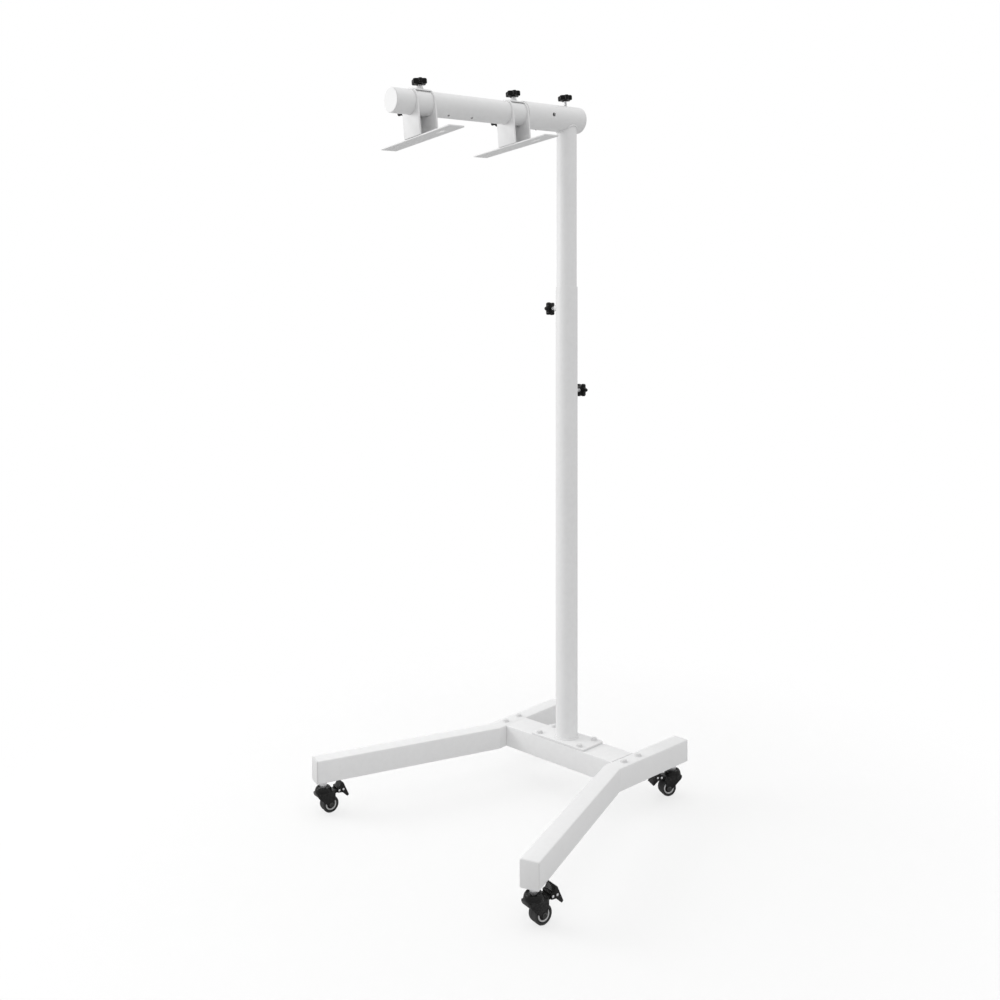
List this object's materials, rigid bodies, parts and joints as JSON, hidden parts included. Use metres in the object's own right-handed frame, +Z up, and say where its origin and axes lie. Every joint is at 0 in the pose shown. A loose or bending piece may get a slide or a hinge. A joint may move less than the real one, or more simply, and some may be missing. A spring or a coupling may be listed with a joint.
{
  "type": "rolling stand",
  "caption": "Rolling floor stand for salon hoods or lamps: splayed legs on braked casters, telescoping swivelling post, round arm with clamp brackets and flat mounting bars.",
  "frame": {"origin": "on the floor, under the middle of the whole stand's box at rest; the post's axis is 162 mm behind it", "axes": "+Z up, -Y is the front, where the arm and the legs' long ends point, +X is the stand's right"},
  "size_m": [0.7256, 0.742, 1.7576],
  "materials": {
    "white_paint": "white powder coat, satin",
    "white_plastic": "white moulded plastic",
    "knob_plastic": "black moulded plastic, satin",
    "zinc_steel": "zinc plated",
    "black_steel": "black coated pressed steel",
    "wheel_tread": "black tread on a black core"
  },
  "bodies": {
    "base": {"caster_stem_front_left": "zinc_steel", "caster_stem_front_right": "zinc_steel", "caster_stem_rear_left": "zinc_steel", "caster_stem_rear_right": "zinc_steel", "crossbar": "white_paint", "flange_bolt_front_left": "zinc_steel", "flange_bolt_front_right": "zinc_steel", "flange_bolt_rear_left": "zinc_steel", "flange_bolt_rear_right": "zinc_steel", "flange_plate": "white_paint", "leg_bolt_left_front": "zinc_steel", "leg_bolt_left_rear": "zinc_steel", "leg_bolt_right_front": "zinc_steel", "leg_bolt_right_rear": "zinc_steel", "leg_left": "white_paint", "leg_left_front_cap": "white_plastic", "leg_left_rear_cap": "white_plastic", "leg_right": "white_paint", "leg_right_front_cap": "white_plastic", "leg_right_rear_cap": "white_plastic", "outer_post": "white_paint"},
    "post_foot": {"inner_post_foot": "white_plastic"},
    "upper_post": {"inner_post": "white_paint", "arm_sleeve": "white_paint", "sleeve_rear_cap": "white_plastic"},
    "arm": {"arm_tube": "white_paint", "arm_front_cap": "white_plastic"},
    "bracket_front": {"clamp_front": "white_paint", "mounting_bar_front": "white_paint"},
    "bracket_rear": {"clamp_rear": "white_paint", "mounting_bar_rear": "white_paint"},
    "post_knob_upper_body": {"post_knob_upper": "knob_plastic"},
    "post_knob_lower_body": {"post_knob_lower": "knob_plastic"},
    "sleeve_knob_side_body": {"sleeve_knob_side": "knob_plastic"},
    "arm_knob_top_body": {"arm_knob_top": "knob_plastic"},
    "clamp_knob_top_front_body": {"clamp_knob_top_front": "knob_plastic"},
    "clamp_knob_side_front_body": {"clamp_knob_side_front": "knob_plastic"},
    "clamp_knob_top_rear_body": {"clamp_knob_top_rear": "knob_plastic"},
    "clamp_knob_side_rear_body": {"clamp_knob_side_rear": "knob_plastic"},
    "caster_front_left": {"caster_fork_front_left": "black_steel", "caster_axle_front_left": "zinc_steel"},
    "wheel_front_left": {"caster_wheel_front_left": "wheel_tread"},
    "pedal_front_left": {"brake_pedal_front_left": "black_steel"},
    "caster_front_right": {"caster_fork_front_right": "black_steel", "caster_axle_front_right": "zinc_steel"},
    "wheel_front_right": {"caster_wheel_front_right": "wheel_tread"},
    "pedal_front_right": {"brake_pedal_front_right": "black_steel"},
    "caster_rear_left": {"caster_fork_rear_left": "black_steel", "caster_axle_rear_left": "zinc_steel"},
    "wheel_rear_left": {"caster_wheel_rear_left": "wheel_tread"},
    "pedal_rear_left": {"brake_pedal_rear_left": "black_steel"},
    "caster_rear_right": {"caster_fork_rear_right": "black_steel", "caster_axle_rear_right": "zinc_steel"},
    "wheel_rear_right": {"caster_wheel_rear_right": "wheel_tread"},
    "pedal_rear_right": {"brake_pedal_rear_right": "black_steel"}
  },
  "joints": [
    {"name": "post_slide", "type": "slide", "parent": "base", "child": "post_foot", "axis": [0, 0, 1], "range_m": [-0.36, 0.24]},
    {"name": "post_swivel", "type": "hinge", "parent": "post_foot", "child": "upper_post", "pos_m": [0, 0.16189, 1], "axis": [0, 0, 1], "continuous": true},
    {"name": "arm_slide", "type": "slide", "parent": "upper_post", "child": "arm", "axis": [-0.1221, -0.9884, -0.0906], "range_m": [0, 0.072]},
    {"name": "bracket_front_slide", "type": "slide", "parent": "arm", "child": "bracket_front", "axis": [-0.1221, -0.9884, -0.0906], "range_m": [-0.1, 0.03]},
    {"name": "bracket_rear_slide", "type": "slide", "parent": "arm", "child": "bracket_rear", "axis": [-0.1221, -0.9884, -0.0906], "range_m": [0, 0.1]},
    {"name": "post_knob_upper_turn", "type": "hinge", "parent": "base", "child": "post_knob_upper_body", "pos_m": [0, 0.16189, 1.2219], "axis": [-1, 0, 0], "range_deg": [0, 360]},
    {"name": "post_knob_lower_turn", "type": "hinge", "parent": "base", "child": "post_knob_lower_body", "pos_m": [0, 0.16189, 1.0129], "axis": [0, 1, 0], "range_deg": [0, 360]},
    {"name": "sleeve_knob_side_turn", "type": "hinge", "parent": "upper_post", "child": "sleeve_knob_side_body", "pos_m": [-0.00659, 0.10852, 1.69196], "axis": [-0.9925, 0.1226, 0], "range_deg": [0, 360]},
    {"name": "arm_knob_top_turn", "type": "hinge", "parent": "arm", "child": "arm_knob_top_body", "pos_m": [-0.00012, 0.1609, 1.69676], "axis": [-0.0111, -0.0899, 0.9959], "range_deg": [0, 360]},
    {"name": "clamp_knob_top_front_turn", "type": "hinge", "parent": "bracket_front", "child": "clamp_knob_top_front_body", "pos_m": [-0.0548, -0.28189, 1.65616], "axis": [-0.0111, -0.0899, 0.9959], "range_deg": [0, 360]},
    {"name": "clamp_knob_side_front_turn", "type": "hinge", "parent": "bracket_front", "child": "clamp_knob_side_front_body", "pos_m": [-0.05566, -0.28881, 1.65552], "axis": [-0.9925, 0.1226, 0], "range_deg": [0, 360]},
    {"name": "clamp_knob_top_rear_turn", "type": "hinge", "parent": "bracket_rear", "child": "clamp_knob_top_rear_body", "pos_m": [-0.02124, -0.01009, 1.68108], "axis": [-0.0111, -0.0899, 0.9959], "range_deg": [0, 360]},
    {"name": "clamp_knob_side_rear_turn", "type": "hinge", "parent": "bracket_rear", "child": "clamp_knob_side_rear_body", "pos_m": [-0.02209, -0.01701, 1.68044], "axis": [-0.9925, 0.1226, 0], "range_deg": [0, 360]},
    {"name": "caster_front_left_swivel", "type": "hinge", "parent": "base", "child": "caster_front_left", "pos_m": [-0.33687, -0.34383, 0.056], "axis": [0, 0, 1], "continuous": true},
    {"name": "wheel_front_left_spin", "type": "hinge", "parent": "caster_front_left", "child": "wheel_front_left", "pos_m": [-0.33364, -0.32867, 0.02], "axis": [0.9781, -0.2079, 0], "continuous": true},
    {"name": "pedal_front_left_press", "type": "hinge", "parent": "caster_front_left", "child": "pedal_front_left", "pos_m": [-0.32938, -0.30862, 0.0495], "axis": [0.9781, -0.2079, 0], "range_deg": [-12, 0]},
    {"name": "caster_front_right_swivel", "type": "hinge", "parent": "base", "child": "caster_front_right", "pos_m": [0.33687, -0.34383, 0.056], "axis": [0, 0, 1], "continuous": true},
    {"name": "wheel_front_right_spin", "type": "hinge", "parent": "caster_front_right", "child": "wheel_front_right", "pos_m": [0.33982, -0.32862, 0.02], "axis": [0.9816, -0.1908, 0], "continuous": true},
    {"name": "pedal_front_right_press", "type": "hinge", "parent": "caster_front_right", "child": "pedal_front_right", "pos_m": [0.34374, -0.30849, 0.0495], "axis": [0.9816, -0.1908, 0], "range_deg": [-12, 0]},
    {"name": "caster_rear_left_swivel", "type": "hinge", "parent": "base", "child": "caster_rear_left", "pos_m": [-0.20093, 0.33413, 0.056], "axis": [0, 0, 1], "continuous": true},
    {"name": "wheel_rear_left_spin", "type": "hinge", "parent": "caster_rear_left", "child": "wheel_rear_left", "pos_m": [-0.19438, 0.32008, 0.02], "axis": [-0.9063, -0.4226, 0], "continuous": true},
    {"name": "pedal_rear_left_press", "type": "hinge", "parent": "caster_rear_left", "child": "pedal_rear_left", "pos_m": [-0.18572, 0.3015, 0.0495], "axis": [-0.9063, -0.4226, 0], "range_deg": [-12, 0]},
    {"name": "caster_rear_right_swivel", "type": "hinge", "parent": "base", "child": "caster_rear_right", "pos_m": [0.20093, 0.33413, 0.056], "axis": [0, 0, 1], "continuous": true},
    {"name": "wheel_rear_right_spin", "type": "hinge", "parent": "caster_rear_right", "child": "wheel_rear_right", "pos_m": [0.19318, 0.3207, 0.02], "axis": [-0.866, 0.5, 0], "continuous": true},
    {"name": "pedal_rear_right_press", "type": "hinge", "parent": "caster_rear_right", "child": "pedal_rear_right", "pos_m": [0.18293, 0.30295, 0.0495], "axis": [-0.866, 0.5, 0], "range_deg": [-12, 0]}
  ]
}
